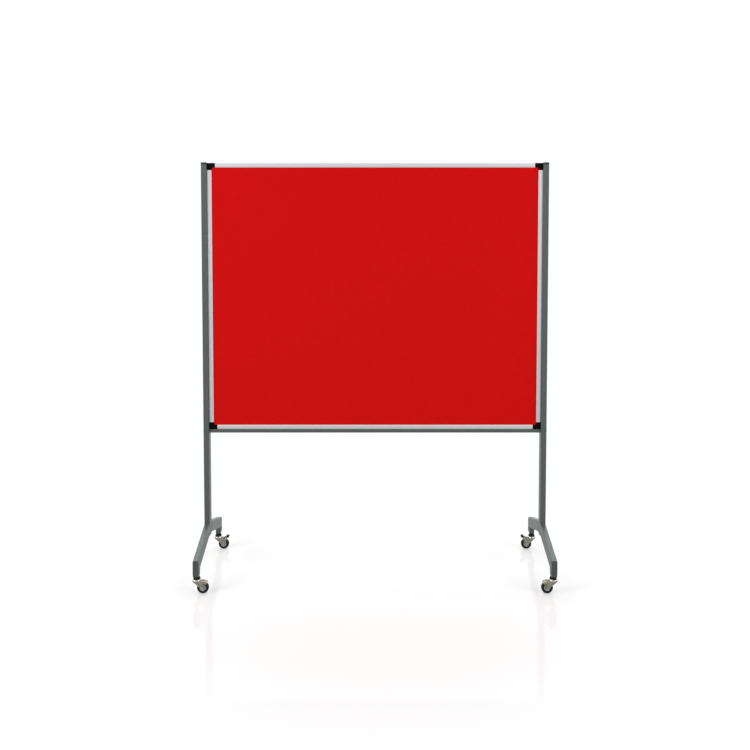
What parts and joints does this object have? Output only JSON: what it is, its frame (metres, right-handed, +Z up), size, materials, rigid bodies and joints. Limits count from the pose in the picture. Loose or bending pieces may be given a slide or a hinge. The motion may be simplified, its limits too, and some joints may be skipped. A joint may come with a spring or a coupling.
{
  "type": "mobile felt board",
  "caption": "Felt-faced notice board in an aluminium frame with black corner pieces, carried between steel uprights on splayed legs with swivel casters, the rear ones braked.",
  "frame": {"origin": "on the floor, midway between the uprights and midway between the front and rear legs", "axes": "+Z up, +X to the right of someone facing the front felt, +Y from the front to the back"},
  "size_m": [1.563, 0.6, 1.852],
  "materials": {
    "paint_grey": "satin",
    "aluminium": "satin",
    "corner_black": "satin",
    "cap_grey": "matte",
    "leg_cap_grey": "matte",
    "felt_red": "matte",
    "fibre_core": "matte",
    "zinc_plate": "satin",
    "fastener_steel": "gloss",
    "nylon_black": "satin",
    "hub_grey": "satin",
    "tyre_black": "matte"
  },
  "bodies": {
    "root": {"board_core": "fibre_core", "board_screws": "fastener_steel", "caster_sleeves": "paint_grey", "caster_socket_front_left": "nylon_black", "caster_socket_front_right": "nylon_black", "caster_socket_rear_left": "nylon_black", "caster_socket_rear_right": "nylon_black", "caster_stem_front_left": "zinc_plate", "caster_stem_front_right": "zinc_plate", "caster_stem_rear_left": "zinc_plate", "caster_stem_rear_right": "zinc_plate", "corner_bottom_left": "corner_black", "corner_bottom_right": "corner_black", "corner_top_left": "corner_black", "corner_top_right": "corner_black", "crossbar": "paint_grey", "crossbar_blocks": "zinc_plate", "crossbar_bolts": "fastener_steel", "felt_front": "felt_red", "felt_rear": "felt_red", "leg_cap_front_left": "leg_cap_grey", "leg_cap_front_right": "leg_cap_grey", "leg_cap_rear_left": "leg_cap_grey", "leg_cap_rear_right": "leg_cap_grey", "leg_front_left": "paint_grey", "leg_front_right": "paint_grey", "leg_rear_left": "paint_grey", "leg_rear_right": "paint_grey", "post_caps": "cap_grey", "post_left": "paint_grey", "post_plugs": "cap_grey", "post_right": "paint_grey", "rail_bottom": "aluminium", "rail_left": "aluminium", "rail_right": "aluminium", "rail_top": "aluminium", "swivel_balls": "fastener_steel", "swivel_races": "zinc_plate"},
    "fork_front_left": {"caster_fork_front_left": "zinc_plate", "caster_axle_front_left": "fastener_steel"},
    "wheel_front_left": {"wheel_hub_front_left": "hub_grey", "wheel_tyre_front_left": "tyre_black"},
    "fork_front_right": {"caster_fork_front_right": "zinc_plate", "caster_axle_front_right": "fastener_steel"},
    "wheel_front_right": {"wheel_hub_front_right": "hub_grey", "wheel_tyre_front_right": "tyre_black"},
    "fork_rear_left": {"caster_fork_rear_left": "zinc_plate", "caster_axle_rear_left": "fastener_steel", "brake_pin_rear_left": "fastener_steel"},
    "wheel_rear_left": {"wheel_hub_rear_left": "hub_grey", "wheel_tyre_rear_left": "tyre_black"},
    "brake_rear_left": {"brake_lever_rear_left": "zinc_plate", "brake_pedal_rear_left": "nylon_black"},
    "fork_rear_right": {"caster_fork_rear_right": "zinc_plate", "caster_axle_rear_right": "fastener_steel", "brake_pin_rear_right": "fastener_steel"},
    "wheel_rear_right": {"wheel_hub_rear_right": "hub_grey", "wheel_tyre_rear_right": "tyre_black"},
    "brake_rear_right": {"brake_lever_rear_right": "zinc_plate", "brake_pedal_rear_right": "nylon_black"}
  },
  "joints": [
    {"name": "swivel_front_left", "type": "hinge", "parent": "root", "child": "fork_front_left", "pos_m": [-0.7625, -0.273, 0.0543], "axis": [0, 0, 1], "continuous": true},
    {"name": "roll_front_left", "type": "hinge", "parent": "fork_front_left", "child": "wheel_front_left", "pos_m": [-0.7365, -0.273, 0.025], "axis": [0, 1, 0], "continuous": true},
    {"name": "swivel_front_right", "type": "hinge", "parent": "root", "child": "fork_front_right", "pos_m": [0.7625, -0.273, 0.0543], "axis": [0, 0, 1], "continuous": true},
    {"name": "roll_front_right", "type": "hinge", "parent": "fork_front_right", "child": "wheel_front_right", "pos_m": [0.7365, -0.273, 0.025], "axis": [0, 1, 0], "continuous": true},
    {"name": "swivel_rear_left", "type": "hinge", "parent": "root", "child": "fork_rear_left", "pos_m": [-0.7625, 0.273, 0.0543], "axis": [0, 0, 1], "continuous": true},
    {"name": "roll_rear_left", "type": "hinge", "parent": "fork_rear_left", "child": "wheel_rear_left", "pos_m": [-0.7365, 0.273, 0.025], "axis": [0, 1, 0], "continuous": true},
    {"name": "brake_rear_left", "type": "hinge", "parent": "fork_rear_left", "child": "brake_rear_left", "pos_m": [-0.7255, 0.273, 0.05398], "axis": [0, 1, 0], "range_deg": [0, 16]},
    {"name": "swivel_rear_right", "type": "hinge", "parent": "root", "child": "fork_rear_right", "pos_m": [0.7625, 0.273, 0.0543], "axis": [0, 0, 1], "continuous": true},
    {"name": "roll_rear_right", "type": "hinge", "parent": "fork_rear_right", "child": "wheel_rear_right", "pos_m": [0.7365, 0.273, 0.025], "axis": [0, 1, 0], "continuous": true},
    {"name": "brake_rear_right", "type": "hinge", "parent": "fork_rear_right", "child": "brake_rear_right", "pos_m": [0.7255, 0.273, 0.05398], "axis": [0, -1, 0], "range_deg": [0, 16]}
  ]
}
